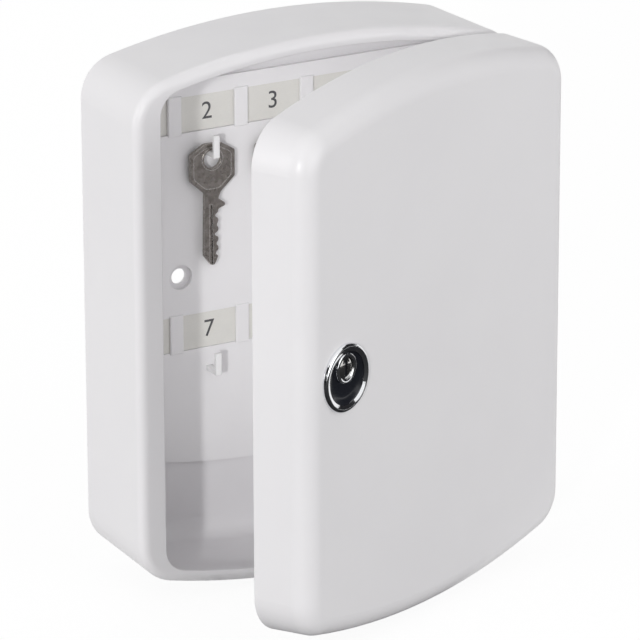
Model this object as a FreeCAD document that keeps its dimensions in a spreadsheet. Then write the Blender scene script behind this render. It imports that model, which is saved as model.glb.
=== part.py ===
import FreeCAD, Part
import os
import Sketcher

# Wall-mounted key box: a moulded tray with an arched top and bottom, a domed door hinged on the right,
# a numbered hook panel inside and a cam lock with a round rosette near the door's free edge.
# Frame: X to the right, Y into the wall, Z up. The origin is the centre of the back face on the wall.
# Depths are measured forward from the wall, so a depth of 57 lies at Y = -57.

doc = FreeCAD.newDocument("KeyBox")
sheet = doc.addObject("Spreadsheet::Sheet", "Sizes")

SIZES = {
    # outline shared by the box and the door
    "overall_width": 200.0,
    "overall_height": 260.6,
    "arch_radius": 364.4,
    "corner_radius": 21.0,
    # box shell
    "box_depth": 57.0,
    "box_draft": 1.4,
    "side_wall": 3.0,
    "back_wall": 1.8,
    "rim_round": 4.4,
    "rim_width": 6.4,
    "strike_width": 13.0,
    "hinge_rim_width": 8.0,
    "lip_thickness": 3.0,
    "opening_corner": 12.0,
    "lip_edge_round": 0.5,
    "floor_round": 9.0,
    "back_edge_round": 1.2,
    # holes for the two wall screws
    "screw_spacing": 100.0,
    "screw_level": 7.0,
    "screw_hole_radius": 3.8,
    "screw_recess_radius": 6.0,
    # door shell
    "door_depth": 29.0,
    "door_gap": 0.5,
    "door_draft": 5.0,
    "door_wall": 2.5,
    "door_round": 10.4,
    "door_back_round": 0.8,
    "door_open": 22.3,
    # hinge
    "hinge_out": 1.8,
    "hinge_behind": 3.0,
    "hinge_level": 70.0,
    "hinge_length": 40.0,
    "door_knuckle_length": 14.0,
    "knuckle_radius": 3.2,
    "knuckle_gap": 0.3,
    "knuckle_relief": 0.4,
    "hinge_pin_radius": 1.5,
    "pin_running_gap": 0.06,
    "pin_press_gap": 0.01,
    "pin_head_radius": 2.1,
    "pin_head_height": 0.8,
    "gusset_reach": 9.0,
    # hook panel
    "panel_thickness": 2.0,
    "panel_side_gap": 9.4,
    "panel_rebate_width": 5.2,
    "panel_rebate": 1.0,
    "panel_top_gap": 29.0,
    "panel_foot_gap": 41.5,
    "panel_corner": 8.0,
    "panel_step_rise": 15.8,
    "panel_step": 0.5,
    # label windows and their retaining tabs
    "columns": 5,
    "row_side_gap": 13.0,
    "upper_row_gap": 45.0,
    "row_drop": 106.3,
    "window_height": 17.4,
    "window_floor": 0.7,
    "label_thickness": 0.35,
    "label_gap": 0.2,
    "tab_width": 7.0,
    "tab_overlap": 0.8,
    "tab_gap": 0.3,
    "tab_proud": 0.8,
    "tab_round": 0.6,
    # hooks
    "hook_width": 3.2,
    "hook_stem": 2.6,
    "hook_bar": 2.0,
    "hook_reach": 8.8,
    "hook_height": 11.0,
    "hook_drop": 20.5,
    "hook_round": 1.8,
    "hook_slot_gap": 0.1,
    # rivets that hold the panel
    "rivet_side_gap": 21.0,
    "rivet_upper": 40.0,
    "rivet_lower": 62.0,
    "rivet_radius": 2.0,
    "rivet_gap": 0.05,
    "rivet_head_radius": 3.6,
    "rivet_head_height": 1.2,
    "rivet_head_round": 0.9,
    # lock
    "lock_from_edge": 29.5,
    "lock_level": 7.0,
    "rosette_drop": 4.5,
    "rosette_radius": 15.6,
    "rosette_inner": 12.0,
    "rosette_height": 1.8,
    "rosette_round": 0.9,
    "cup_wall": 0.7,
    "cup_depth": 2.5,
    "cup_floor": 1.9,
    "lock_hole_gap": 0.1,
    "boss_radius": 7.2,
    "boss_round": 0.9,
    "boss_sink": 0.5,
    "barrel_radius": 6.6,
    "plug_radius": 5.3,
    "plug_gap": 0.05,
    "plug_recess": 0.3,
    "keyway_width": 1.9,
    "keyway_height": 7.6,
    "keyway_depth": 24.0,
    "backplate_radius": 15.0,
    "backplate_thickness": 1.2,
    "nut_radius": 11.0,
    "nut_thickness": 4.0,
    "wafer_count": 5,
    "wafer_pitch": 3.0,
    "wafer_first": 5.5,
    "wafer_thickness": 0.6,
    "wafer_width": 4.2,
    "wafer_height": 8.8,
    "wafer_gap": 0.1,
    # cam
    "cam_gap": 0.7,
    "cam_thickness": 2.0,
    "cam_width": 17.4,
    "cam_reach": 24.5,
    "cam_corner": 8.2,
    "drive_square": 7.0,
    "drive_gap": 0.05,
    "cam_end_gap": 0.3,
    "cam_screw_head_radius": 4.0,
    "cam_screw_head_height": 2.2,
    "cam_screw_radius": 1.9,
    "cam_screw_length": 8.0,
    "cam_screw_gap": 0.05,
    "cam_screw_round": 0.8,
    "cam_screw_slot": 0.9,
    "cam_screw_slot_depth": 1.1,
    # keys
    "key_thickness": 2.2,
    "key_depth": 5.9,
    "key_hole_radius": 4.4,
    "key_rest_gap": 0.1,
    "key_top": 7.6,
    "key_top_half": 4.3,
    "key_half_width": 12.2,
    "key_side_top": 3.2,
    "key_side_foot": 9.6,
    "key_neck": 16.2,
    "key_neck_half": 4.3,
    "key_blade_back": 4.8,
    "key_blade_front": 2.8,
    "key_stop_reach": 6.4,
    "key_stop_level": 22.0,
    "key_stop_length": 2.6,
    "key_length": 51.5,
    "key_first_cut": 27.5,
    "key_cut_pitch": 4.6,
    "key_cut_count": 5,
    "key_cut_flat": 0.8,
    "key_groove_width": 1.6,
    "key_groove_depth": 0.6,
}

# Depth of each bitting cut in the key's front edge, shallow and deep in turn.
KEY_CUT_DEPTHS = (1.5, 0.7, 1.8, 1.0, 1.4)


class Dim:
    """A length or angle that carries both its number and the formula that gives it."""

    def __init__(self, value, text):
        self.value = value
        self.text = text

    def _pair(self, other):
        return other if isinstance(other, Dim) else Dim(float(other), repr(other))

    def __add__(self, other):
        other = self._pair(other)
        return Dim(self.value + other.value, "(%s + %s)" % (self.text, other.text))

    def __sub__(self, other):
        other = self._pair(other)
        return Dim(self.value - other.value, "(%s - %s)" % (self.text, other.text))

    def __mul__(self, other):
        other = self._pair(other)
        return Dim(self.value * other.value, "(%s * %s)" % (self.text, other.text))

    def __truediv__(self, other):
        other = self._pair(other)
        return Dim(self.value / other.value, "(%s / %s)" % (self.text, other.text))

    def __neg__(self):
        return Dim(-self.value, "(0 - %s)" % self.text)


ZERO = Dim(0.0, "0")


def fill_sheet():
    """Write every size into the sheet and return them as dimensions by name."""
    dims = {}
    for row, (name, value) in enumerate(SIZES.items(), start=1):
        sheet.set("A%d" % row, name)
        sheet.set("B%d" % row, str(value))
        sheet.setAlias("B%d" % row, name)
        dims[name] = Dim(float(value), "Sizes." + name)
    doc.recompute()
    return dims


d = fill_sheet()


# Places that several pieces share

half_width = d["overall_width"] / 2
half_height = d["overall_height"] / 2
arch_centre = d["arch_radius"] - half_height
front_plane = d["box_depth"]
door_back = d["box_depth"] + d["door_gap"]
lip_back = d["box_depth"] - d["lip_thickness"]
hinge_x = half_width + d["hinge_out"]
hinge_depth = door_back - d["hinge_behind"]
panel_front = d["back_wall"] + d["panel_thickness"]
lower_panel_front = panel_front - d["panel_step"]
panel_half_width = half_width - d["panel_side_gap"]
panel_top = half_height - d["panel_top_gap"]
column_pitch = (d["overall_width"] - d["row_side_gap"] * 2) / SIZES["columns"]
upper_row_level = half_height - d["upper_row_gap"]
lower_row_level = upper_row_level - d["row_drop"]
panel_step_level = lower_row_level + d["panel_step_rise"]

# Door pieces are drawn from the hinge axis, with the door shut
door_back_local = d["hinge_behind"]
door_face_local = d["hinge_behind"] + d["door_depth"]
door_centre_local = -hinge_x
lock_x_local = d["lock_from_edge"] - half_width - hinge_x
rosette_level = d["lock_level"] - d["rosette_drop"]
boss_front = door_face_local + d["rosette_height"] - d["boss_sink"]


# Sketch and feature helpers

def origin_plane(body, role):
    """The body's own origin plane with the given role."""
    for feature in body.Origin.OriginFeatures:
        if feature.Role == role:
            return feature


def new_body(name):
    body = doc.addObject("PartDesign::Body", name)
    body.Label = name
    return body


def new_sketch(body, depth, role="XZ_Plane"):
    """A sketch parallel to the wall at a depth in front of the body's origin, or level with another plane."""
    sketch = body.newObject("Sketcher::SketchObject", body.Name + "_sketch")
    sketch.AttachmentSupport = [(origin_plane(body, role), "")]
    sketch.MapMode = "FlatFace"
    sketch.AttachmentOffset = FreeCAD.Placement(FreeCAD.Vector(0, 0, depth.value), FreeCAD.Rotation())
    sketch.setExpression(".AttachmentOffset.Base.z", depth.text)
    return sketch


def hold(sketch, kind, first, first_end, size):
    """Fix a point's signed distance from the sketch origin, or a curve's radius, to a dimension."""
    if kind == "Radius":
        index = sketch.addConstraint(Sketcher.Constraint("Radius", first, size.value))
    else:
        index = sketch.addConstraint(Sketcher.Constraint(kind, -1, 1, first, first_end, size.value))
    sketch.setExpression("Constraints[%d]" % index, size.text)


def circle(sketch, x, y, radius):
    shape = Part.Circle(FreeCAD.Vector(x.value, y.value, 0), FreeCAD.Vector(0, 0, 1), radius.value)
    index = sketch.addGeometry(shape, False)
    hold(sketch, "DistanceX", index, 3, x)
    hold(sketch, "DistanceY", index, 3, y)
    hold(sketch, "Radius", index, 0, radius)


def polygon(sketch, points):
    """A closed outline through corners given as pairs of dimensions."""
    corners = [FreeCAD.Vector(x.value, y.value, 0) for x, y in points]
    count = len(points)
    lines = []
    for i in range(count):
        line = Part.LineSegment(corners[i], corners[(i + 1) % count])
        lines.append(sketch.addGeometry(line, False))
    for i in range(count):
        sketch.addConstraint(Sketcher.Constraint("Coincident", lines[i], 2, lines[(i + 1) % count], 1))
        hold(sketch, "DistanceX", lines[i], 1, points[i][0])
        hold(sketch, "DistanceY", lines[i], 1, points[i][1])


def rectangle(sketch, left, right, low, high):
    polygon(sketch, [(left, low), (right, low), (right, high), (left, high)])


def arched_outline(sketch, inset, left, right, corner, centre=ZERO):
    """The box's outline, drawn inset from its outer edge, between two upright sides.

    The top and bottom are arcs about points on the centre line. Four tangent corner arcs join them
    to the sides.
    """
    big = d["arch_radius"] - inset
    radius = big.value
    round_radius = corner.value
    sides = {-1: left.value - centre.value, 1: right.value - centre.value}
    arc_centre = {1: -arch_centre.value, -1: arch_centre.value}
    joints = {}
    rounds = {}
    for up in (1, -1):
        for side in (1, -1):
            corner_x = sides[side] - side * round_radius
            rise = ((radius - round_radius) ** 2 - corner_x ** 2) ** 0.5
            corner_y = arc_centre[up] + up * rise
            direction = FreeCAD.Vector(corner_x, up * rise, 0)
            direction.normalize()
            middle = FreeCAD.Vector(corner_x + centre.value, corner_y, 0)
            on_arch = middle + direction * round_radius
            on_side = FreeCAD.Vector(sides[side] + centre.value, corner_y, 0)
            bend = direction + FreeCAD.Vector(side, 0, 0)
            bend.normalize()
            rounds[up, side] = Part.Arc(on_arch, middle + bend * round_radius, on_side)
            joints[up, side] = (on_arch, on_side)
    apex = {up: FreeCAD.Vector(centre.value, arc_centre[up] + up * radius, 0) for up in (1, -1)}
    arches = {up: Part.Arc(joints[up, -1][0], apex[up], joints[up, 1][0]) for up in (1, -1)}
    arch_index = {up: sketch.addGeometry(arches[up], False) for up in (1, -1)}
    side_index = {}
    for side in (1, -1):
        line = Part.LineSegment(joints[1, side][1], joints[-1, side][1])
        side_index[side] = sketch.addGeometry(line, False)
    for up in (1, -1):
        hold(sketch, "DistanceX", arch_index[up], 3, centre)
        hold(sketch, "DistanceY", arch_index[up], 3, -arch_centre if up == 1 else arch_centre)
        hold(sketch, "Radius", arch_index[up], 0, big)
    hold(sketch, "DistanceX", side_index[-1], 1, left)
    hold(sketch, "DistanceX", side_index[1], 1, right)
    for side in (1, -1):
        sketch.addConstraint(Sketcher.Constraint("Vertical", side_index[side]))
    for (up, side), arc in rounds.items():
        index = sketch.addGeometry(arc, False)
        at_arch = nearest_end(sketch, index, joints[up, side][0])
        at_side = 3 - at_arch
        arch_end = nearest_end(sketch, arch_index[up], joints[up, side][0])
        side_end = 1 if up == 1 else 2
        sketch.addConstraint(Sketcher.Constraint("Tangent", index, at_arch, arch_index[up], arch_end))
        sketch.addConstraint(Sketcher.Constraint("Tangent", index, at_side, side_index[side], side_end))
        hold(sketch, "Radius", index, 0, corner)


def nearest_end(sketch, index, point):
    """Which end of a sketch curve, 1 or 2, lies at a point."""
    start = sketch.getPoint(index, 1)
    end = sketch.getPoint(index, 2)
    return 1 if start.distanceToPoint(point) < end.distanceToPoint(point) else 2


def pad(body, sketch, length, backward=False, taper=None):
    """Extrude a sketch forward from the wall, or back towards it, and narrow it by a taper angle."""
    feature = body.newObject("PartDesign::Pad", body.Name + "_pad")
    feature.Profile = sketch
    feature.Length = length.value
    feature.setExpression("Length", length.text)
    feature.Reversed = backward
    if taper is not None:
        feature.TaperAngle = -taper.value
        feature.setExpression("TaperAngle", (-taper).text)
    doc.recompute()
    return feature


def pocket(body, sketch, length, forward=False, taper=None):
    """Cut a sketch towards the wall, or forward, and check that material went."""
    before = body.Shape.Volume
    feature = body.newObject("PartDesign::Pocket", body.Name + "_pocket")
    feature.Profile = sketch
    feature.Length = length.value
    feature.setExpression("Length", length.text)
    feature.Reversed = forward
    if taper is not None:
        feature.TaperAngle = -taper.value
        feature.setExpression("TaperAngle", (-taper).text)
    doc.recompute()
    if body.Shape.Volume >= before:
        raise ValueError("%s cut nothing" % feature.Name)
    return feature


def round_edges(body, radius, chosen):
    """Fillet the edges of the body's last feature that a test picks out."""
    base = body.Tip
    names = []
    for i, edge in enumerate(base.Shape.Edges, start=1):
        if chosen(edge):
            names.append("Edge%d" % i)
    feature = body.newObject("PartDesign::Fillet", body.Name + "_round")
    feature.Base = (base, names)
    feature.Radius = radius.value
    feature.setExpression("Radius", radius.text)
    doc.recompute()
    return feature


def flat_at(edge, depth, tolerance=1e-3):
    """True for an edge that lies wholly at one depth in front of the body's origin."""
    box = edge.BoundBox
    return abs(box.YMin + depth.value) < tolerance and abs(box.YMax + depth.value) < tolerance


def along_depth(edge, tolerance=1e-6):
    """True for a straight edge that runs front to back."""
    box = edge.BoundBox
    return box.XLength < tolerance and box.ZLength < tolerance and box.YLength > tolerance


def seat(item, x, depth, z):
    """Place a piece by its own origin, measured from the wall."""
    item.Placement = FreeCAD.Placement(FreeCAD.Vector(x.value, -depth.value, z.value), FreeCAD.Rotation())
    item.setExpression(".Placement.Base.x", x.text)
    item.setExpression(".Placement.Base.y", (-depth).text)
    item.setExpression(".Placement.Base.z", z.text)


def hang_on_door(item):
    """Place a piece that was drawn from the hinge axis, swung open with the door."""
    turn = FreeCAD.Rotation(FreeCAD.Vector(0, 0, 1), d["door_open"].value)
    item.Placement = FreeCAD.Placement(FreeCAD.Vector(hinge_x.value, -hinge_depth.value, 0), turn)
    item.setExpression(".Placement.Base.x", hinge_x.text)
    item.setExpression(".Placement.Base.y", (-hinge_depth).text)
    item.setExpression(".Placement.Rotation.Angle", d["door_open"].text)


def cylinder(name, radius, length, x, depth, z):
    """A round bar that points forward from a depth."""
    item = doc.addObject("Part::Cylinder", name)
    item.Radius = radius.value
    item.Height = length.value
    turn = FreeCAD.Rotation(FreeCAD.Vector(1, 0, 0), 90)
    item.Placement = FreeCAD.Placement(FreeCAD.Vector(x.value, -depth.value, z.value), turn)
    item.setExpression("Radius", radius.text)
    item.setExpression("Height", length.text)
    item.setExpression(".Placement.Base.x", x.text)
    item.setExpression(".Placement.Base.y", (-depth).text)
    item.setExpression(".Placement.Base.z", z.text)
    return item


pieces = []


# Box shell: the moulded tray that screws to the wall

def knuckle_bands(upper):
    """Lower end and length of the two box knuckles, and of the door knuckle between them."""
    level = d["hinge_level"] if upper else -d["hinge_level"]
    foot = level - d["hinge_length"] / 2
    inner = d["door_knuckle_length"] / 2
    side_length = d["hinge_length"] / 2 - inner - d["knuckle_gap"]
    top_foot = level + inner + d["knuckle_gap"]
    return [(foot, side_length), (top_foot, side_length)], (level - inner, d["door_knuckle_length"])


def make_box_shell():
    body = new_body("box_shell")
    outer = new_sketch(body, front_plane)
    arched_outline(outer, ZERO, -half_width, half_width, d["corner_radius"])
    pad(body, outer, d["box_depth"], backward=True, taper=d["box_draft"])
    round_edges(body, d["rim_round"], lambda edge: flat_at(edge, front_plane))
    round_edges(body, d["back_edge_round"], lambda edge: flat_at(edge, ZERO))

    cavity = new_sketch(body, lip_back)
    cavity_half = half_width - d["side_wall"]
    cavity_corner = d["corner_radius"] - d["side_wall"]
    arched_outline(cavity, d["side_wall"], -cavity_half, cavity_half, cavity_corner)
    pocket(body, cavity, lip_back - d["back_wall"], taper=d["box_draft"])
    round_edges(body, d["floor_round"], lambda edge: flat_at(edge, d["back_wall"]))

    opening = new_sketch(body, front_plane)
    left = d["strike_width"] - half_width
    right = half_width - d["hinge_rim_width"]
    arched_outline(opening, d["rim_width"], left, right, d["opening_corner"])
    pocket(body, opening, d["lip_thickness"])
    inner_left = left.value - 1.0
    inner_right = right.value + 1.0
    inner_height = (half_height - d["rim_width"]).value + 1.0
    round_edges(body, d["lip_edge_round"], lambda edge: flat_at(edge, front_plane)
                and edge.BoundBox.XMin > inner_left and edge.BoundBox.XMax < inner_right
                and edge.BoundBox.ZMax < inner_height and edge.BoundBox.ZMin > -inner_height)

    screws = new_sketch(body, d["back_wall"])
    for side in (-1, 1):
        circle(screws, d["screw_spacing"] / 2 * side, d["screw_level"], d["screw_hole_radius"])
    pocket(body, screws, d["back_wall"])
    rivets = new_sketch(body, d["back_wall"])
    for x, z in rivet_places():
        circle(rivets, x, z, d["rivet_radius"])
    pocket(body, rivets, d["back_wall"])

    for upper in (True, False):
        box_bands, door_band = knuckle_bands(upper)
        relief = new_sketch(body, door_band[0] - d["knuckle_gap"], "XY_Plane")
        circle(relief, hinge_x, -hinge_depth, d["knuckle_radius"] + d["knuckle_relief"])
        pocket(body, relief, door_band[1] + d["knuckle_gap"] * 2, forward=True)
        for foot, length in box_bands:
            barrel = new_sketch(body, foot, "XY_Plane")
            circle(barrel, hinge_x, -hinge_depth, d["knuckle_radius"])
            pad(body, barrel, length)
            web = new_sketch(body, foot, "XY_Plane")
            web_left = half_width - d["side_wall"] - d["door_gap"]
            rectangle(web, web_left, hinge_x, -front_plane + d["door_gap"] / 2,
                      -hinge_depth + d["knuckle_radius"] - d["door_gap"])
            pad(body, web, length)
        bore = new_sketch(body, box_bands[0][0], "XY_Plane")
        circle(bore, hinge_x, -hinge_depth, d["hinge_pin_radius"] + d["pin_press_gap"])
        pocket(body, bore, d["hinge_length"], forward=True)
    pieces.append(body)


# Rivets that hold the hook panel, four in a rectangle

def rivet_places():
    places = []
    for side in (-1, 1):
        column = (half_width - d["rivet_side_gap"]) * side
        places.append((column, d["rivet_upper"]))
        places.append((column, -d["rivet_lower"]))
    return places


def rivet_head_seat(z):
    """Depth of the panel's front face at a height: the lower field lies a step further back."""
    return panel_front if z.value > panel_step_level.value else lower_panel_front


def make_panel_rivets():
    shafts = []
    for i, (x, z) in enumerate(rivet_places()):
        base = rivet_head_seat(z)
        shaft = cylinder("rivet_shaft_%d" % i, d["rivet_radius"] - d["rivet_gap"], base, x, ZERO, z)
        head = cylinder("rivet_head_%d" % i, d["rivet_head_radius"], d["rivet_head_height"], x, base, z)
        rivet = doc.addObject("Part::Fuse", "rivet_%d" % i)
        rivet.Base = shaft
        rivet.Tool = head
        doc.recompute()
        dome = doc.addObject("Part::Fillet", "rivet_dome_%d" % i)
        dome.Base = rivet
        rim = base + d["rivet_head_height"]
        radius = d["rivet_head_round"].value
        dome.Edges = [(n, radius, radius) for n, edge in enumerate(rivet.Shape.Edges, start=1)
                      if flat_at(edge, rim)]
        shafts.append(dome)
    group = doc.addObject("Part::Compound", "panel_rivets")
    group.Label = "panel_rivets"
    group.Links = shafts
    pieces.append(group)


# Hook panel: one moulding with two rows of label windows, retaining tabs and hook slots

def column_centre(column):
    return column_pitch * (column - (SIZES["columns"] - 1) / 2)


def row_places():
    """Height of each row's window centre, and the depth of the panel's face there."""
    return [(upper_row_level, panel_front), (lower_row_level, lower_panel_front)]


def panel_outline(sketch, half):
    """Straight top and sides, and a foot that follows the bottom of the box."""
    radius = d["arch_radius"] - d["panel_foot_gap"]
    drop = (radius.value ** 2 - half.value ** 2) ** 0.5
    low = arch_centre.value - drop
    corners = [FreeCAD.Vector(half.value, low, 0), FreeCAD.Vector(half.value, panel_top.value, 0),
               FreeCAD.Vector(-half.value, panel_top.value, 0), FreeCAD.Vector(-half.value, low, 0)]
    lines = [sketch.addGeometry(Part.LineSegment(corners[i], corners[i + 1]), False) for i in range(3)]
    foot = Part.Arc(corners[3], FreeCAD.Vector(0, arch_centre.value - radius.value, 0), corners[0])
    arc = sketch.addGeometry(foot, False)
    sketch.addConstraint(Sketcher.Constraint("Coincident", lines[0], 2, lines[1], 1))
    sketch.addConstraint(Sketcher.Constraint("Coincident", lines[1], 2, lines[2], 1))
    sketch.addConstraint(Sketcher.Constraint("Coincident", lines[2], 2, arc, nearest_end(sketch, arc, corners[3])))
    sketch.addConstraint(Sketcher.Constraint("Coincident", lines[0], 1, arc, nearest_end(sketch, arc, corners[0])))
    sketch.addConstraint(Sketcher.Constraint("Vertical", lines[0]))
    sketch.addConstraint(Sketcher.Constraint("Vertical", lines[2]))
    hold(sketch, "DistanceX", lines[1], 1, half)
    hold(sketch, "DistanceX", lines[1], 2, -half)
    hold(sketch, "DistanceY", lines[1], 1, panel_top)
    hold(sketch, "DistanceY", lines[1], 2, panel_top)
    hold(sketch, "DistanceX", arc, 3, ZERO)
    hold(sketch, "DistanceY", arc, 3, arch_centre)
    hold(sketch, "Radius", arc, 0, radius)


def make_hook_panel():
    body = new_body("hook_panel")
    front = new_sketch(body, d["back_wall"] + d["panel_rebate"])
    panel_outline(front, panel_half_width)
    pad(body, front, d["panel_thickness"] - d["panel_rebate"])
    back = new_sketch(body, d["back_wall"])
    panel_outline(back, panel_half_width - d["panel_rebate_width"])
    pad(body, back, d["panel_rebate"])
    round_edges(body, d["panel_corner"], lambda edge: along_depth(edge)
                and abs(abs(edge.BoundBox.XMin) - panel_half_width.value) < 1e-3)

    step = new_sketch(body, panel_front)
    rectangle(step, -half_width, half_width, -half_height, panel_step_level)
    pocket(body, step, d["panel_step"])

    window_half = d["window_height"] / 2
    row_half = column_pitch * SIZES["columns"] / 2 - d["tab_width"] / 2
    for level, face in row_places():
        window = new_sketch(body, face)
        rectangle(window, -row_half, row_half, level - window_half, level + window_half)
        pocket(body, window, face - d["back_wall"] - d["window_floor"])

    for level, face in row_places():
        tab_back = d["back_wall"] + d["window_floor"] + d["label_thickness"] + d["tab_gap"]
        tabs = new_sketch(body, tab_back)
        tab_half = d["tab_width"] / 2
        for i in range(SIZES["columns"] + 1):
            x = column_pitch * (i - SIZES["columns"] / 2)
            rectangle(tabs, x - tab_half, x + tab_half, level - window_half - d["tab_overlap"],
                      level + window_half + d["tab_overlap"])
        pad(body, tabs, face + d["tab_proud"] - tab_back)
    tab_fronts = [face + d["tab_proud"] for level, face in row_places()]
    round_edges(body, d["tab_round"], lambda edge: any(flat_at(edge, depth) for depth in tab_fronts))

    slot_half = d["hook_width"] / 2 + d["hook_slot_gap"]
    slots = new_sketch(body, panel_front)
    for level, face in row_places():
        foot = level - d["hook_drop"]
        for column in range(SIZES["columns"]):
            x = column_centre(column)
            rectangle(slots, x - slot_half, x + slot_half, foot - d["hook_slot_gap"],
                      foot + d["hook_stem"] + d["hook_slot_gap"])
    pocket(body, slots, d["panel_thickness"])

    holes = new_sketch(body, panel_front)
    for side in (-1, 1):
        circle(holes, d["screw_spacing"] / 2 * side, d["screw_level"], d["screw_recess_radius"])
    for x, z in rivet_places():
        circle(holes, x, z, d["rivet_radius"])
    pocket(body, holes, d["panel_thickness"])
    pieces.append(body)


# Labels: card strips in the windows, one for each hook, tucked behind the tabs

def make_labels():
    number = 0
    width = column_pitch - d["label_gap"] * 2
    height = d["window_height"] - d["label_gap"] * 2
    span = column_pitch * SIZES["columns"] - d["tab_width"]
    for level, face in row_places():
        for column in range(SIZES["columns"]):
            number += 1
            label = doc.addObject("Part::Box", "label_%d" % number)
            label.Label = "label_%d" % number
            left = column_centre(column) - width / 2
            length = width
            if column == 0:
                left = -(span / 2) + d["label_gap"]
            if column in (0, SIZES["columns"] - 1):
                length = width - d["tab_width"] / 2
            label.setExpression("Length", length.text)
            label.setExpression("Width", d["label_thickness"].text)
            label.setExpression("Height", height.text)
            front = d["back_wall"] + d["window_floor"] + d["label_thickness"]
            seat(label, left, front, level - height / 2)
            pieces.append(label)


# Hooks: an upturned L with a stem pressed into the panel

def make_hooks():
    number = 0
    for level, face in row_places():
        for column in range(SIZES["columns"]):
            number += 1
            body = new_body("hook_%d" % number)
            side_view = new_sketch(body, column_centre(column) - d["hook_width"] / 2, "YZ_Plane")
            reach = panel_front + d["hook_reach"]
            foot = level - d["hook_drop"]
            polygon(side_view, [
                (-d["back_wall"], foot),
                (-reach, foot),
                (-reach, foot + d["hook_height"]),
                (-reach + d["hook_bar"], foot + d["hook_height"]),
                (-reach + d["hook_bar"], foot + d["hook_stem"]),
                (-d["back_wall"], foot + d["hook_stem"]),
            ])
            pad(body, side_view, d["hook_width"])
            low = foot.value
            high = (foot + d["hook_height"]).value
            front = -reach.value
            round_edges(body, d["hook_round"], lambda edge: edge.BoundBox.ZLength < 1e-6
                        and edge.BoundBox.YLength < 1e-6 and abs(edge.BoundBox.YMin - front) < 1e-3
                        and (abs(edge.BoundBox.ZMin - low) < 1e-3 or abs(edge.BoundBox.ZMin - high) < 1e-3))
            pieces.append(body)


# Hinge pins: pressed into the box knuckles, running in the door knuckle

def make_hinge_pins():
    for upper, name in ((True, "hinge_pin_upper"), (False, "hinge_pin_lower")):
        box_bands, door_band = knuckle_bands(upper)
        body = new_body(name)
        foot = box_bands[0][0]
        shaft = new_sketch(body, foot, "XY_Plane")
        circle(shaft, hinge_x, -hinge_depth, d["hinge_pin_radius"])
        pad(body, shaft, d["hinge_length"])
        head = new_sketch(body, foot + d["hinge_length"], "XY_Plane")
        circle(head, hinge_x, -hinge_depth, d["pin_head_radius"])
        pad(body, head, d["pin_head_height"])
        pieces.append(body)


# Door shell: the domed moulding with a drafted skirt, drawn shut from the hinge axis

def make_door_shell():
    body = new_body("door_shell")
    outer = new_sketch(body, door_back_local)
    left = door_centre_local - half_width
    right = door_centre_local + half_width
    arched_outline(outer, ZERO, left, right, d["corner_radius"], door_centre_local)
    pad(body, outer, d["door_depth"], taper=d["door_draft"])
    round_edges(body, d["door_round"], lambda edge: flat_at(edge, door_face_local))
    round_edges(body, d["door_back_round"], lambda edge: flat_at(edge, door_back_local))

    core = new_body("door_core")
    hollow = new_sketch(core, door_back_local)
    inner_left = left + d["door_wall"]
    inner_right = right - d["door_wall"]
    arched_outline(hollow, d["door_wall"], inner_left, inner_right,
                   d["corner_radius"] - d["door_wall"], door_centre_local)
    pad(core, hollow, d["door_depth"] - d["door_wall"], taper=d["door_draft"])
    hollow_floor = door_face_local - d["door_wall"]
    round_edges(core, d["door_round"] - d["door_wall"], lambda edge: flat_at(edge, hollow_floor))
    emptied = body.newObject("PartDesign::Boolean", "door_hollow")
    emptied.Type = "Cut"
    emptied.setObjects([core])
    doc.recompute()

    lock_hole = new_sketch(body, door_face_local)
    circle(lock_hole, lock_x_local, rosette_level, d["rosette_inner"] + d["cup_wall"] + d["lock_hole_gap"])
    pocket(body, lock_hole, d["door_wall"])

    for upper in (True, False):
        box_bands, (foot, length) = knuckle_bands(upper)
        barrel = new_sketch(body, foot, "XY_Plane")
        circle(barrel, ZERO, ZERO, d["knuckle_radius"])
        pad(body, barrel, length)
        arm = new_sketch(body, foot, "XY_Plane")
        edge_x = -d["hinge_out"]
        polygon(arm, [
            (edge_x, ZERO),
            (edge_x - d["door_wall"] / 2, -door_back_local - d["door_back_round"]),
            (edge_x - d["door_wall"] / 2, -door_back_local - d["gusset_reach"]),
            (edge_x, -door_back_local - d["gusset_reach"]),
            (d["knuckle_radius"] - d["knuckle_relief"], -door_back_local / 2),
            (d["knuckle_radius"] - d["knuckle_relief"], ZERO),
        ])
        pad(body, arm, length)
        bore = new_sketch(body, foot, "XY_Plane")
        circle(bore, ZERO, ZERO, d["hinge_pin_radius"] + d["pin_running_gap"])
        pocket(body, bore, length, forward=True)
    hang_on_door(body)
    pieces.append(body)


# Lock: rosette cup, housing, backplate and nut fixed to the door

def make_lock_rosette():
    body = new_body("lock_rosette")
    cup_outer = d["rosette_inner"] + d["cup_wall"]
    cup = new_sketch(body, door_face_local - d["cup_depth"])
    circle(cup, lock_x_local, rosette_level, cup_outer)
    pad(body, cup, d["cup_depth"])
    ring = new_sketch(body, door_face_local)
    circle(ring, lock_x_local, rosette_level, d["rosette_radius"])
    pad(body, ring, d["rosette_height"])
    dish = new_sketch(body, door_face_local + d["rosette_height"])
    circle(dish, lock_x_local, rosette_level, d["rosette_inner"])
    pocket(body, dish, d["rosette_height"] + d["cup_depth"] - d["cup_floor"])
    ring_front = door_face_local + d["rosette_height"]
    round_edges(body, d["rosette_round"], lambda edge: flat_at(edge, ring_front))
    passage = new_sketch(body, door_face_local - d["cup_depth"] + d["cup_floor"])
    circle(passage, lock_x_local, d["lock_level"], d["barrel_radius"] + d["lock_hole_gap"])
    pocket(body, passage, d["cup_floor"])
    hang_on_door(body)
    pieces.append(body)


def barrel_back():
    """Depth of the housing's rear end, just short of the cam."""
    return cam_front_local() + d["cam_end_gap"]


def cam_front_local():
    """Depth of the cam's front face, clear behind the strike lip when the door is shut."""
    return lip_back - d["cam_gap"] - hinge_depth


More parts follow.
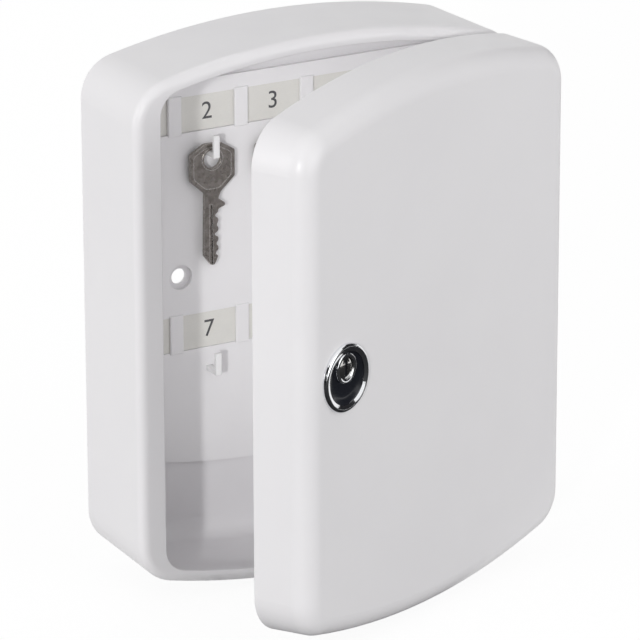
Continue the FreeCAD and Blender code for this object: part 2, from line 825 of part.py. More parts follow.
def make_lock_housing():
    body = new_body("lock_housing")
    cup_face = door_face_local - d["cup_depth"] + d["cup_floor"]
    barrel = new_sketch(body, barrel_back())
    circle(barrel, lock_x_local, d["lock_level"], d["barrel_radius"])
    pad(body, barrel, cup_face - barrel_back())
    boss = new_sketch(body, cup_face)
    circle(boss, lock_x_local, d["lock_level"], d["boss_radius"])
    pad(body, boss, boss_front - cup_face)
    round_edges(body, d["boss_round"], lambda edge: flat_at(edge, boss_front))
    bore = new_sketch(body, boss_front)
    circle(bore, lock_x_local, d["lock_level"], d["plug_radius"] + d["plug_gap"])
    pocket(body, bore, boss_front - barrel_back())
    hang_on_door(body)
    pieces.append(body)


def make_lock_backplate():
    body = new_body("lock_backplate")
    inner_face = door_face_local - d["door_wall"]
    plate = new_sketch(body, inner_face - d["backplate_thickness"])
    circle(plate, lock_x_local, rosette_level, d["backplate_radius"])
    circle(plate, lock_x_local, d["lock_level"], d["barrel_radius"] + d["lock_hole_gap"])
    pad(body, plate, d["backplate_thickness"])
    hang_on_door(body)
    pieces.append(body)


def make_lock_nut():
    nut_back = door_face_local - d["door_wall"] - d["backplate_thickness"] - d["nut_thickness"]
    blank = doc.addObject("Part::Prism", "nut_blank")
    blank.Polygon = 6
    blank.setExpression("Circumradius", d["nut_radius"].text)
    blank.setExpression("Height", d["nut_thickness"].text)
    blank.Placement = FreeCAD.Placement(FreeCAD.Vector(lock_x_local.value, -nut_back.value, d["lock_level"].value),
                                        FreeCAD.Rotation(FreeCAD.Vector(1, 0, 0), 90))
    blank.setExpression(".Placement.Base.x", lock_x_local.text)
    blank.setExpression(".Placement.Base.y", (-nut_back).text)
    blank.setExpression(".Placement.Base.z", d["lock_level"].text)
    bore = cylinder("nut_bore", d["barrel_radius"] + d["lock_hole_gap"] / 2, d["nut_thickness"],
                    lock_x_local, nut_back, d["lock_level"])
    nut = doc.addObject("Part::Cut", "lock_nut")
    nut.Label = "lock_nut"
    nut.Base = blank
    nut.Tool = bore
    doc.recompute()
    hang_on_door(nut)
    pieces.append(nut)


# Lock cylinder: plug with its wafers, and the cam and its screw, which turn together

def wafer_depth(i):
    """Depth of the back face of a wafer, counted from the front of the plug."""
    return boss_front - d["wafer_first"] - d["wafer_pitch"] * i


def make_lock_plug():
    body = new_body("lock_plug")
    cam_front = cam_front_local()
    front = boss_front - d["plug_recess"]
    core = new_sketch(body, cam_front)
    circle(core, lock_x_local, d["lock_level"], d["plug_radius"])
    pad(body, core, front - cam_front)
    half = d["drive_square"] / 2
    drive_length = d["cam_thickness"] - d["cam_screw_gap"] * 2
    drive = new_sketch(body, cam_front)
    rectangle(drive, lock_x_local - half, lock_x_local + half, d["lock_level"] - half, d["lock_level"] + half)
    pad(body, drive, drive_length, backward=True)
    keyway = new_sketch(body, front)
    slot_half = d["keyway_width"] / 2
    rectangle(keyway, lock_x_local - slot_half, lock_x_local + slot_half,
              d["lock_level"] - d["keyway_height"] / 2, d["lock_level"] + d["keyway_height"] / 2)
    pocket(body, keyway, d["keyway_depth"])
    slot_x = d["wafer_width"] / 2 + d["wafer_gap"]
    slot_z = d["wafer_height"] / 2 + d["wafer_gap"]
    for i in range(SIZES["wafer_count"]):
        slot = new_sketch(body, wafer_depth(i) + d["wafer_thickness"] + d["wafer_gap"])
        rectangle(slot, lock_x_local - slot_x, lock_x_local + slot_x,
                  d["lock_level"] - slot_z, d["lock_level"] + slot_z)
        pocket(body, slot, d["wafer_thickness"] + d["wafer_gap"] * 2)
    tapped = new_sketch(body, cam_front - drive_length)
    circle(tapped, lock_x_local, d["lock_level"], d["cam_screw_radius"] + d["cam_screw_gap"])
    pocket(body, tapped, d["cam_screw_length"], forward=True)
    hang_on_door(body)
    pieces.append(body)


def make_lock_wafers():
    plates = []
    for i in range(SIZES["wafer_count"]):
        plate = doc.addObject("Part::Box", "wafer_plate_%d" % i)
        window = doc.addObject("Part::Box", "wafer_window_%d" % i)
        clear = d["wafer_gap"]
        sizes = ((plate, d["wafer_width"], d["wafer_height"]),
                 (window, d["keyway_width"] + clear, d["keyway_height"] - d["wafer_thickness"]))
        for item, width, height in sizes:
            item.setExpression("Length", width.text)
            item.setExpression("Width", d["wafer_thickness"].text)
            item.setExpression("Height", height.text)
            seat(item, lock_x_local - width / 2, wafer_depth(i) + d["wafer_thickness"],
                 d["lock_level"] - height / 2)
        wafer = doc.addObject("Part::Cut", "wafer_%d" % i)
        wafer.Base = plate
        wafer.Tool = window
        plates.append(wafer)
    group = doc.addObject("Part::Compound", "lock_wafers")
    group.Label = "lock_wafers"
    group.Links = plates
    doc.recompute()
    hang_on_door(group)
    pieces.append(group)


def make_lock_cam():
    body = new_body("lock_cam")
    plate = new_sketch(body, cam_front_local())
    half = d["cam_width"] / 2
    rectangle(plate, lock_x_local - half, lock_x_local + d["cam_reach"], d["lock_level"] - half,
              d["lock_level"] + half)
    pad(body, plate, d["cam_thickness"], backward=True)
    round_edges(body, d["cam_corner"], along_depth)
    drive = new_sketch(body, cam_front_local())
    square = d["drive_square"] / 2 + d["drive_gap"]
    rectangle(drive, lock_x_local - square, lock_x_local + square, d["lock_level"] - square,
              d["lock_level"] + square)
    pocket(body, drive, d["cam_thickness"])
    hang_on_door(body)
    pieces.append(body)


def make_cam_screw():
    body = new_body("cam_screw")
    seat_depth = cam_front_local() - d["cam_thickness"]
    head = new_sketch(body, seat_depth)
    circle(head, lock_x_local, d["lock_level"], d["cam_screw_head_radius"])
    pad(body, head, d["cam_screw_head_height"], backward=True)
    head_back = seat_depth - d["cam_screw_head_height"]
    round_edges(body, d["cam_screw_round"], lambda edge: flat_at(edge, head_back))
    shaft = new_sketch(body, seat_depth)
    circle(shaft, lock_x_local, d["lock_level"], d["cam_screw_radius"])
    pad(body, shaft, d["cam_screw_length"] - d["cam_thickness"])
    for across in (True, False):
        slot = new_sketch(body, head_back)
        long_half = d["cam_screw_head_radius"] - d["cam_screw_round"] * 2
        short_half = d["cam_screw_slot"] / 2
        half_x, half_z = (long_half, short_half) if across else (short_half, long_half)
        rectangle(slot, lock_x_local - half_x, lock_x_local + half_x, d["lock_level"] - half_z,
                  d["lock_level"] + half_z)
        pocket(body, slot, d["cam_screw_slot_depth"], forward=True)
    hang_on_door(body)
    pieces.append(body)


# Keys: the pair for the lock, hung on hooks 2 and 3

def key_hole_level():
    """Height of a hung key's hole centre: its hole rests on the two edges of the hook's stem."""
    chord = (SIZES["key_hole_radius"] ** 2 - (SIZES["hook_width"] / 2) ** 2) ** 0.5
    formula = "sqrt(Sizes.key_hole_radius ^ 2 - (Sizes.hook_width / 2) ^ 2)"
    stem_top = upper_row_level - d["hook_drop"] + d["hook_stem"]
    return stem_top + d["key_rest_gap"] - Dim(chord, formula)


def make_key(number):
    body = new_body("key_%d" % number)
    outline = new_sketch(body, ZERO)
    front = d["key_blade_front"]
    corners = [
        (-d["key_top_half"], d["key_top"]),
        (-d["key_half_width"], d["key_side_top"]),
        (-d["key_half_width"], -d["key_side_foot"]),
        (-d["key_neck_half"], -d["key_neck"]),
        (-d["key_blade_back"], -d["key_length"] + d["key_blade_back"]),
        (-d["key_blade_back"] / 4, -d["key_length"]),
        (front / 4, -d["key_length"]),
    ]
    cut_edge = []
    for i in range(SIZES["key_cut_count"]):
        level = -d["key_first_cut"] - d["key_cut_pitch"] * i
        depth = KEY_CUT_DEPTHS[i % len(KEY_CUT_DEPTHS)]
        flat = d["key_cut_flat"] / 2
        quarter = d["key_cut_pitch"] / 4
        cut_edge.append((front, level + quarter + flat))
        cut_edge.append((front - depth, level + flat))
        cut_edge.append((front - depth, level - flat))
        cut_edge.append((front, level - quarter - flat))
    corners += reversed(cut_edge)
    corners += [
        (front, -d["key_stop_level"] - d["key_stop_length"]),
        (d["key_stop_reach"], -d["key_stop_level"] - d["key_stop_length"] / 2),
        (d["key_stop_reach"], -d["key_stop_level"]),
        (front, -d["key_stop_level"] + d["key_stop_length"]),
        (d["key_neck_half"], -d["key_neck"]),
        (d["key_half_width"], -d["key_side_foot"]),
        (d["key_half_width"], d["key_side_top"]),
        (d["key_top_half"], d["key_top"]),
    ]
    polygon(outline, corners)
    circle(outline, ZERO, ZERO, d["key_hole_radius"])
    pad(body, outline, d["key_thickness"])
    groove = new_sketch(body, d["key_thickness"])
    rectangle(groove, -d["key_groove_width"] * 1.2, -d["key_groove_width"] * 0.2,
              -d["key_length"] - d["key_groove_width"], -d["key_stop_level"])
    pocket(body, groove, d["key_groove_depth"])
    seat(body, column_centre(number - 1), d["key_depth"], key_hole_level())
    pieces.append(body)


make_box_shell()
make_hook_panel()
make_panel_rivets()
make_labels()
make_hooks()
make_hinge_pins()
make_door_shell()
make_lock_rosette()
make_lock_housing()
make_lock_backplate()
make_lock_nut()
make_lock_plug()
make_lock_wafers()
make_lock_cam()
make_cam_screw()
for key_number in (2, 3):
    make_key(key_number)
doc.recompute()

for item in doc.Objects:
    if any(word in item.State for word in ("Invalid", "Error")):
        raise ValueError("%s did not compute" % item.Label)
for piece in pieces:
    if piece.Shape.isNull() or not piece.Shape.isValid():
        raise ValueError("%s has no valid shape" % piece.Label)

os.makedirs("parts", exist_ok=True)
for piece in pieces:
    piece.Shape.exportStep(os.path.join("parts", piece.Label + ".step"))
print("%d pieces" % len(pieces))
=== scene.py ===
import math

import bpy
from mathutils import Matrix, Vector


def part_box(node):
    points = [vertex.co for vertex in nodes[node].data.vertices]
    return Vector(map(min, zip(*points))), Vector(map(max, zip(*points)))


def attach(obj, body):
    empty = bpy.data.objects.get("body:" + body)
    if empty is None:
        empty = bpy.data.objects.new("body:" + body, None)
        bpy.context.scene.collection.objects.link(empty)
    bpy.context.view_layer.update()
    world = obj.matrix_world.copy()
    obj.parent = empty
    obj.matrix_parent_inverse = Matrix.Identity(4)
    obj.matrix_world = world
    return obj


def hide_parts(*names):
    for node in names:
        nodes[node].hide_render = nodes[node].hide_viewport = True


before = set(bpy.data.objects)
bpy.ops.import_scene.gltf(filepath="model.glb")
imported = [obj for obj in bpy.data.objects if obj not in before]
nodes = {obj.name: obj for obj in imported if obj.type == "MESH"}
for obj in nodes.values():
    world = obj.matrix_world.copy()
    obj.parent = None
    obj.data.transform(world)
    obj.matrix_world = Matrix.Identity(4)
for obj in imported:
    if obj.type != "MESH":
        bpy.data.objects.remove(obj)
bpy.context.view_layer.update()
bpy.ops.object.select_all(action="DESELECT")


# Camera. A long lens looks down on the box from its front left corner, as a product picture does.
# The lens, the turn and the place were worked out from the outline of the box and its door.
camera_yaw = math.radians(29.5)
camera_pitch = math.radians(19.26)
camera_roll = math.radians(-0.14)
camera_place = Vector((-1.0858, -1.9660, 0.7609))
camera_lens = 283.56

forward = Vector((math.sin(camera_yaw) * math.cos(camera_pitch),
                  math.cos(camera_yaw) * math.cos(camera_pitch), -math.sin(camera_pitch)))
level_right = Vector((math.cos(camera_yaw), -math.sin(camera_yaw), 0))
level_up = level_right.cross(forward)
right = math.cos(camera_roll) * level_right + math.sin(camera_roll) * level_up
up = -math.sin(camera_roll) * level_right + math.cos(camera_roll) * level_up
turn = Matrix((right, up, -forward)).transposed()

camera_data = bpy.data.cameras.new("camera")
camera_data.lens = camera_lens
camera_data.sensor_width = 36
camera_data.clip_end = 20
camera = bpy.data.objects.new("camera", camera_data)
camera.matrix_world = Matrix.Translation(camera_place) @ turn.to_4x4()
bpy.context.scene.collection.objects.link(camera)
bpy.context.scene.camera = camera
bpy.context.scene.view_settings.view_transform = "Standard"


# Studio. An even pale room, a key lamp from the front left, two wide soft ones, and a matt floor.
# The room and most of the floor are white to the camera and in reflections, and duller as lights.
room_level = 0.54
floor_height = -0.1312
floor_white = 0.80
floor_glow = 1.15
floor_grey = (0.55, 0.55, 0.55, 1)
lamps = {                                # turn to the left of the front, rise, width, strength
    "key": (42, 12, 3, 0.94),
    "window": (-25, 10, 40, 0.84),
    "side": (95, 10, 40, 0.95),
}
inside_size = (0.15, 0.20)               # a soft fill for the panel, as the white door gives it
inside_place = (-0.005, -0.052, 0.022)
inside_level = 0.029


def white_to_rays(tree, share):
    """How much of a plain white a ray sees: camera, mirror and glass rays see a share of it."""
    rays = tree.nodes.new("ShaderNodeLightPath")
    any_ray = tree.nodes.new("ShaderNodeMath")
    any_ray.operation = "ADD"
    all_rays = tree.nodes.new("ShaderNodeMath")
    all_rays.operation = "ADD"
    all_rays.use_clamp = True
    part = tree.nodes.new("ShaderNodeMath")
    part.operation = "MULTIPLY"
    part.inputs[1].default_value = share
    tree.links.new(rays.outputs["Is Camera Ray"], any_ray.inputs[0])
    tree.links.new(rays.outputs["Is Glossy Ray"], any_ray.inputs[1])
    tree.links.new(any_ray.outputs[0], all_rays.inputs[0])
    tree.links.new(rays.outputs["Is Transmission Ray"], all_rays.inputs[1])
    tree.links.new(all_rays.outputs[0], part.inputs[0])
    return part.outputs[0]


world = bpy.data.worlds.new("room")
bpy.context.scene.world = world
world.use_nodes = True
room = world.node_tree
room.nodes.clear()
room_out = room.nodes.new("ShaderNodeOutputWorld")
room_mix = room.nodes.new("ShaderNodeMixShader")
room_plain = room.nodes.new("ShaderNodeBackground")
room_white = room.nodes.new("ShaderNodeBackground")
room_plain.inputs["Color"].default_value = (1, 1, 1, 1)
room_plain.inputs["Strength"].default_value = room_level
room_white.inputs["Color"].default_value = (1, 1, 1, 1)
room_white.inputs["Strength"].default_value = 1
room.links.new(white_to_rays(room, 1), room_mix.inputs["Fac"])
room.links.new(room_plain.outputs[0], room_mix.inputs[1])
room.links.new(room_white.outputs[0], room_mix.inputs[2])
room.links.new(room_mix.outputs[0], room_out.inputs["Surface"])

for lamp_name, (lamp_turn, lamp_rise, lamp_width, lamp_strength) in lamps.items():
    lamp_data = bpy.data.lights.new(lamp_name, "SUN")
    lamp_data.energy = lamp_strength
    lamp_data.angle = math.radians(lamp_width)
    lamp = bpy.data.objects.new(lamp_name, lamp_data)
    aside, rise = math.radians(lamp_turn), math.radians(lamp_rise)
    towards = Vector((-math.sin(aside) * math.cos(rise), -math.cos(aside) * math.cos(rise), math.sin(rise)))
    lamp.matrix_world = towards.to_track_quat("Z", "Y").to_matrix().to_4x4()
    bpy.context.scene.collection.objects.link(lamp)

inside_data = bpy.data.lights.new("inside", "AREA")
inside_data.shape = "RECTANGLE"
inside_data.size, inside_data.size_y = inside_size
inside_data.energy = inside_level
inside = bpy.data.objects.new("inside", inside_data)
inside.matrix_world = Matrix.Translation(inside_place) @ Matrix.Rotation(math.radians(90), 4, "X")
inside.visible_camera = False
inside.visible_glossy = False
bpy.context.scene.collection.objects.link(inside)

bpy.ops.mesh.primitive_plane_add(size=8, location=(0, 0, floor_height))
floor = bpy.context.object
floor.name = "floor"
floor_paper = bpy.data.materials.new("floor_paper")
floor_paper.use_nodes = True
paper = floor_paper.node_tree
paper.nodes.clear()
paper_out = paper.nodes.new("ShaderNodeOutputMaterial")
paper_mix = paper.nodes.new("ShaderNodeMixShader")
paper_white = paper.nodes.new("ShaderNodeEmission")
paper_white.inputs["Strength"].default_value = floor_glow
paper_matt = paper.nodes.new("ShaderNodeBsdfDiffuse")
paper_matt.inputs["Color"].default_value = floor_grey
paper.links.new(white_to_rays(paper, floor_white), paper_mix.inputs["Fac"])
paper.links.new(paper_matt.outputs[0], paper_mix.inputs[1])
paper.links.new(paper_white.outputs[0], paper_mix.inputs[2])
paper.links.new(paper_mix.outputs[0], paper_out.inputs["Surface"])
floor.data.materials.append(floor_paper)

# Four dark cards that only reflections see give the polished metal its black bands.
card_lift = 0.0008
dark_cards = {                           # middle, size, turn about X, turn about Z
    "card_front": ((-0.35, -0.76, floor_height + card_lift), (1.7, 1.3), 0, 0),
    "card_left": ((-0.55, -0.55, 0.22), (1.2, 0.70), 90, -45),
    "card_right": ((0.60, -0.10, 0.42), (0.9, 0.60), 90, 90),
    "card_low": ((0.60, -0.38, 0.0), (0.36, 0.26), 90, 90),
}
card_black = bpy.data.materials.new("card_black")
card_black.use_nodes = True
card_shader = card_black.node_tree.nodes["Principled BSDF"]
card_shader.inputs["Base Color"].default_value = (0.01, 0.01, 0.012, 1)
card_shader.inputs["Roughness"].default_value = 1
for card_name, (middle, (wide, high), tilt, swing) in dark_cards.items():
    bpy.ops.mesh.primitive_plane_add(size=1, location=middle,
                                     rotation=(math.radians(tilt), 0, math.radians(swing)))
    dark_card = bpy.context.object
    dark_card.name = card_name
    dark_card.scale = (wide, high, 1)
    dark_card.data.materials.append(card_black)
    for ray in ("camera", "diffuse", "transmission", "volume_scatter", "shadow"):
        setattr(dark_card, "visible_" + ray, False)


# Box. A deep tray moulded in white ABS, with a finely polished skin and a faint orange peel.
# It stays as the frame has it: the moulding group gives every plastic piece its own grain.
def add_node(tree, kind, settings=None, **values):
    """A node with its settings and the plain values of its sockets."""
    node = tree.nodes.new(kind)
    for key, value in (settings or {}).items():
        setattr(node, key, value)
    for key, value in values.items():
        node.inputs[key.replace("_", " ")].default_value = value
    return node


def new_group(name, inputs, outputs):
    """An empty node group with float, colour and vector sockets."""
    kinds = {"float": "NodeSocketFloat", "colour": "NodeSocketColor", "vector": "NodeSocketVector"}
    group = bpy.data.node_groups.new(name, "ShaderNodeTree")
    for socket, (kind, value) in inputs.items():
        item = group.interface.new_socket(socket, in_out="INPUT", socket_type=kinds[kind])
        if value is not None:
            item.default_value = value
    for socket, kind in outputs.items():
        group.interface.new_socket(socket, in_out="OUTPUT", socket_type=kinds[kind])
    return group, group.nodes.new("NodeGroupInput"), group.nodes.new("NodeGroupOutput")


def spread(group, source, low, high, smooth=True):
    """Brings a value between two levels that are sockets or plain numbers."""
    span = add_node(group, "ShaderNodeMapRange",
                    {"interpolation_type": "SMOOTHSTEP" if smooth else "LINEAR"})
    group.links.new(source, span.inputs["Value"])
    span.inputs["From Min"].default_value = 0.3
    span.inputs["From Max"].default_value = 0.7
    for socket, level in (("To Min", low), ("To Max", high)):
        if isinstance(level, (int, float)):
            span.inputs[socket].default_value = level
        else:
            group.links.new(level, span.inputs[socket])
    return span.outputs[0]


moulding, given, made = new_group("moulding", {
    "Colour": ("colour", (0.8, 0.8, 0.8, 1)), "Deep colour": ("colour", (0.7, 0.7, 0.7, 1)),
    "Gloss": ("float", 0.3), "Dull": ("float", 0.4), "Peel": ("float", 0.1), "Grain": ("float", 0.1),
}, {"Colour": "colour", "Roughness": "float", "Normal": "vector"})
place = add_node(moulding, "ShaderNodeTexCoord")
cloud = add_node(moulding, "ShaderNodeTexNoise", Scale=16.0, Detail=4.0)
flow = add_node(moulding, "ShaderNodeTexNoise", Scale=55.0, Detail=5.0, Roughness=0.65, Distortion=0.6)
peel = add_node(moulding, "ShaderNodeTexNoise", Scale=620.0, Detail=2.0)
grain = add_node(moulding, "ShaderNodeTexNoise", Scale=4200.0, Detail=2.0)
for noise in (cloud, flow, peel, grain):
    moulding.links.new(place.outputs["Object"], noise.inputs["Vector"])
tone = add_node(moulding, "ShaderNodeMix", {"data_type": "RGBA"})
moulding.links.new(spread(moulding, cloud.outputs["Fac"], 0.0, 1.0), tone.inputs[0])
moulding.links.new(given.outputs["Colour"], tone.inputs[6])
moulding.links.new(given.outputs["Deep colour"], tone.inputs[7])
moulding.links.new(tone.outputs[2], made.inputs["Colour"])
moulding.links.new(spread(moulding, flow.outputs["Fac"], given.outputs["Gloss"], given.outputs["Dull"]),
                   made.inputs["Roughness"])
peel_bump = add_node(moulding, "ShaderNodeBump", Distance=0.0002)
grain_bump = add_node(moulding, "ShaderNodeBump", Distance=0.00004)
moulding.links.new(given.outputs["Peel"], peel_bump.inputs["Strength"])
moulding.links.new(peel.outputs["Fac"], peel_bump.inputs["Height"])
moulding.links.new(given.outputs["Grain"], grain_bump.inputs["Strength"])
moulding.links.new(grain.outputs["Fac"], grain_bump.inputs["Height"])
moulding.links.new(peel_bump.outputs["Normal"], grain_bump.inputs["Normal"])
moulding.links.new(grain_bump.outputs["Normal"], made.inputs["Normal"])


def new_material(name, colour):
    """A named material with its shader and its plain colour."""
    material = bpy.data.materials.new(name)
    material.use_nodes = True
    tree = material.node_tree
    shader = tree.nodes["Principled BSDF"]
    shader.inputs["Base Color"].default_value = (*colour, 1)
    material.diffuse_color = (*colour, 1)
    return material, tree, shader


def moulded_plastic(name, colour, deep, gloss, dull, peel_depth, grain_depth):
    """Injection moulded plastic: a cloudy tone, uneven gloss, orange peel and fine grain."""
    material, tree, shader = new_material(name, colour)
    finish = add_node(tree, "ShaderNodeGroup", {"node_tree": moulding})
    finish.inputs["Colour"].default_value = (*colour, 1)
    finish.inputs["Deep colour"].default_value = (*deep, 1)
    for socket, value in (("Gloss", gloss), ("Dull", dull), ("Peel", peel_depth), ("Grain", grain_depth)):
        finish.inputs[socket].default_value = value
    tree.links.new(finish.outputs["Colour"], shader.inputs["Base Color"])
    tree.links.new(finish.outputs["Roughness"], shader.inputs["Roughness"])
    tree.links.new(finish.outputs["Normal"], shader.inputs["Normal"])
    return material


def dress(name, material):
    """A CAD node keeps its shape and gets its finish."""
    nodes[name].data.materials.clear()
    nodes[name].data.materials.append(material)


case_white = moulded_plastic("case_white", (0.84, 0.828, 0.842), (0.825, 0.813, 0.83), 0.34, 0.44, 0.06, 0.05)
dress("box_shell", case_white)


# Hook panel. One thin moulding with two rows of label windows and their tabs, slightly duller
# than the case. Four flat-headed rivets of the same plastic hold it to the back of the box.
# The panel's white is painted paler than the case's. This is painted light that brightens the panel deep
# inside the box, where little light reaches.
panel_white = moulded_plastic("panel_white", (0.91, 0.90, 0.912), (0.89, 0.88, 0.892), 0.38, 0.48, 0.05, 0.10)
dress("hook_panel", panel_white)
dress("panel_rivets", panel_white)


# Label cards. Ten strips of off-white card behind the tabs, each with its number printed in the
# middle in a plain dark grey face. The numbers are thin printed shapes that lie on the card.
card, given, made = new_group("card_fibre", {
    "Light": ("colour", (0.8, 0.8, 0.8, 1)), "Dark": ("colour", (0.7, 0.7, 0.7, 1)),
}, {"Colour": "colour", "Roughness": "float", "Normal": "vector"})
place = add_node(card, "ShaderNodeTexCoord")
fibre_run = add_node(card, "ShaderNodeMapping")
fibre_run.inputs["Scale"].default_value = (1, 1, 3.2)
fibre = add_node(card, "ShaderNodeTexNoise", Scale=900.0, Detail=6.0, Roughness=0.7)
patch = add_node(card, "ShaderNodeTexNoise", Scale=120.0, Detail=3.0)
card.links.new(place.outputs["Object"], fibre_run.inputs["Vector"])
card.links.new(fibre_run.outputs[0], fibre.inputs["Vector"])
card.links.new(place.outputs["Object"], patch.inputs["Vector"])
blend = add_node(card, "ShaderNodeMath", {"operation": "MULTIPLY_ADD"})
blend.inputs[1].default_value = 0.6
card.links.new(fibre.outputs["Fac"], blend.inputs[0])
half_patch = add_node(card, "ShaderNodeMath", {"operation": "MULTIPLY"})
half_patch.inputs[1].default_value = 0.4
card.links.new(patch.outputs["Fac"], half_patch.inputs[0])
card.links.new(half_patch.outputs[0], blend.inputs[2])
tone = add_node(card, "ShaderNodeMix", {"data_type": "RGBA"})
card.links.new(spread(card, blend.outputs[0], 0.0, 1.0), tone.inputs[0])
card.links.new(given.outputs["Light"], tone.inputs[6])
card.links.new(given.outputs["Dark"], tone.inputs[7])
card.links.new(tone.outputs[2], made.inputs["Colour"])
card.links.new(spread(card, fibre.outputs["Fac"], 0.62, 0.8), made.inputs["Roughness"])
fibre_bump = add_node(card, "ShaderNodeBump", Strength=0.25, Distance=0.00004)
card.links.new(fibre.outputs["Fac"], fibre_bump.inputs["Height"])
card.links.new(fibre_bump.outputs["Normal"], made.inputs["Normal"])


def printed_card(name, light, dark):
    """Card or the ink on it, with the fibres showing through."""
    material, tree, shader = new_material(name, light)
    finish = add_node(tree, "ShaderNodeGroup", {"node_tree": card})
    finish.inputs["Light"].default_value = (*light, 1)
    finish.inputs["Dark"].default_value = (*dark, 1)
    tree.links.new(finish.outputs["Colour"], shader.inputs["Base Color"])
    tree.links.new(finish.outputs["Roughness"], shader.inputs["Roughness"])
    tree.links.new(finish.outputs["Normal"], shader.inputs["Normal"])
    shader.inputs["Specular IOR Level"].default_value = 0.3
    return material


label_card = printed_card("label_card", (0.81, 0.80, 0.76), (0.77, 0.76, 0.725))
label_ink = printed_card("label_ink", (0.075, 0.075, 0.08), (0.13, 0.13, 0.135))
number_size = 0.0118
ink_thickness = 0.00004
for number in range(1, 11):
    dress("label_%d" % number, label_card)
    low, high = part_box("label_%d" % number)
    bpy.ops.object.text_add(location=(0, 0, 0))
    figure = bpy.context.object
    figure.name = "label_number_%d" % number
    figure.data.body = str(number)
    figure.data.size = number_size
    figure.data.align_x = "CENTER"
    figure.data.align_y = "CENTER"
    figure.data.extrude = ink_thickness / 2
    bpy.ops.object.convert(target="MESH")
    middle = (low + high) / 2
    figure.location = (middle.x, low.y - ink_thickness / 2, middle.z)
    figure.rotation_euler = (math.radians(90), 0, 0)
    bpy.ops.object.transform_apply(location=True, rotation=True, scale=True)
    figure.data.materials.append(label_ink)
    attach(figure, "root")
    bpy.ops.object.select_all(action="DESELECT")


# Hooks. Ten small white plastic hooks pushed into slots in the panel, in a glossier plastic than
# the case. One is modelled from a bar and a raised tip with rounded edges, then copied to each slot.
hook_white = moulded_plastic("hook_white", (0.93, 0.928, 0.93), (0.91, 0.908, 0.91), 0.20, 0.28, 0.04, 0.03)
hook_round = 0.00055
hook_round_steps = 4
smooth_angle = math.radians(40)
close = 1e-6
hook_bar = 0.0020
hook_stem = 0.0026


def block(name, low, high):
    """A block between two corners, with its place in its mesh."""
    bpy.ops.object.select_all(action="DESELECT")
    bpy.ops.mesh.primitive_cube_add(size=1, location=(low + high) / 2)
    piece = bpy.context.object
    piece.name = name
    piece.scale = high - low
    bpy.ops.object.transform_apply(location=True, rotation=True, scale=True)
    return piece


def select_where(piece, kind, test):
    """In edit mode, picks the faces, edges or vertices that a test on their place accepts."""
    bpy.ops.object.mode_set(mode="OBJECT")
    mesh = piece.data
    for items in (mesh.vertices, mesh.edges, mesh.polygons):
        items.foreach_set("select", [False] * len(items))
    for item in getattr(mesh, kind):
        item.select = bool(test(item))
    bpy.ops.object.mode_set(mode="EDIT")
    bpy.ops.mesh.select_mode(type={"vertices": "VERT", "edges": "EDGE", "polygons": "FACE"}[kind])


def bevel_piece(piece, width, segments, angle=30):
    """Rounds the sharp edges of a finished shape and smooths it."""
    rounding = piece.modifiers.new("rounding", "BEVEL")
    rounding.width = width
    rounding.segments = segments
    rounding.limit_method = "ANGLE"
    rounding.angle_limit = math.radians(angle)
    rounding.harden_normals = False
    bpy.context.view_layer.objects.active = piece
    bpy.ops.object.modifier_apply(modifier="rounding")
    bpy.ops.object.select_all(action="DESELECT")
    piece.select_set(True)
    bpy.ops.object.shade_smooth_by_angle(angle=smooth_angle)
    bpy.ops.object.select_all(action="DESELECT")


def copy_of(piece, name, shift):
    """A like piece with its own mesh, moved to its place in that mesh."""
    twin = piece.copy()
    twin.data = piece.data.copy()
    twin.name = name
    twin.data.transform(Matrix.Translation(shift))
    bpy.context.scene.collection.objects.link(twin)
    return twin


first_low, first_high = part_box("hook_1")
hook = block("hook_piece_1", first_low, Vector((first_high.x, first_high.y, first_low.z + hook_stem)))
bpy.ops.object.mode_set(mode="EDIT")
bpy.ops.mesh.select_all(action="SELECT")
bpy.ops.mesh.bisect(plane_co=(0, first_low.y + hook_bar, 0), plane_no=(0, 1, 0))
tip_top = first_low.z + hook_stem
select_where(hook, "polygons", lambda face: abs(face.center.z - tip_top) < close
             and face.center.y < first_low.y + hook_bar)
bpy.ops.mesh.extrude_region_move(TRANSFORM_OT_translate={"value": (0, 0, first_high.z - tip_top)})
bpy.ops.object.mode_set(mode="OBJECT")
bevel_piece(hook, hook_round, hook_round_steps)
hook.data.materials.append(hook_white)
for number in range(1, 11):
    low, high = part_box("hook_%d" % number)
    piece = hook if number == 1 else copy_of(hook, "hook_piece_%d" % number, low - first_low)
    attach(piece, "root")
    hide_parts("hook_%d" % number)


# Hinge. Two turned steel pins with small heads, pressed into the box and running in the door.
# The metal group gives turned, plated and cast metals their scratches, stains and brighter edges: worn, and
# on the keys also a painted highlight.
metal, given, made = new_group("metal_finish", {
    "Colour": ("colour", (0.6, 0.6, 0.6, 1)), "Stain": ("colour", (0.4, 0.4, 0.4, 1)),
    "Worn edge and glint": ("colour", (0.8, 0.8, 0.8, 1)), "Smooth": ("float", 0.2), "Rough": ("float", 0.4),
    "Brushing": ("float", 0.2), "Edge width": ("float", 0.0003), "Stain size": ("float", 260.0),
}, {"Colour": "colour", "Roughness": "float", "Normal": "vector"})
place = add_node(metal, "ShaderNodeTexCoord")
stroke = add_node(metal, "ShaderNodeMapping")
stroke.inputs["Scale"].default_value = (1, 1, 0.06)
brush = add_node(metal, "ShaderNodeTexNoise", Scale=2600.0, Detail=3.0, Roughness=0.6)
stain = add_node(metal, "ShaderNodeTexNoise", Detail=5.0, Roughness=0.62)
metal.links.new(place.outputs["Object"], stroke.inputs["Vector"])
metal.links.new(stroke.outputs[0], brush.inputs["Vector"])
metal.links.new(place.outputs["Object"], stain.inputs["Vector"])
metal.links.new(given.outputs["Stain size"], stain.inputs["Scale"])
stained = add_node(metal, "ShaderNodeMix", {"data_type": "RGBA"})
metal.links.new(spread(metal, stain.outputs["Fac"], 0.0, 1.0), stained.inputs[0])
metal.links.new(given.outputs["Colour"], stained.inputs[6])
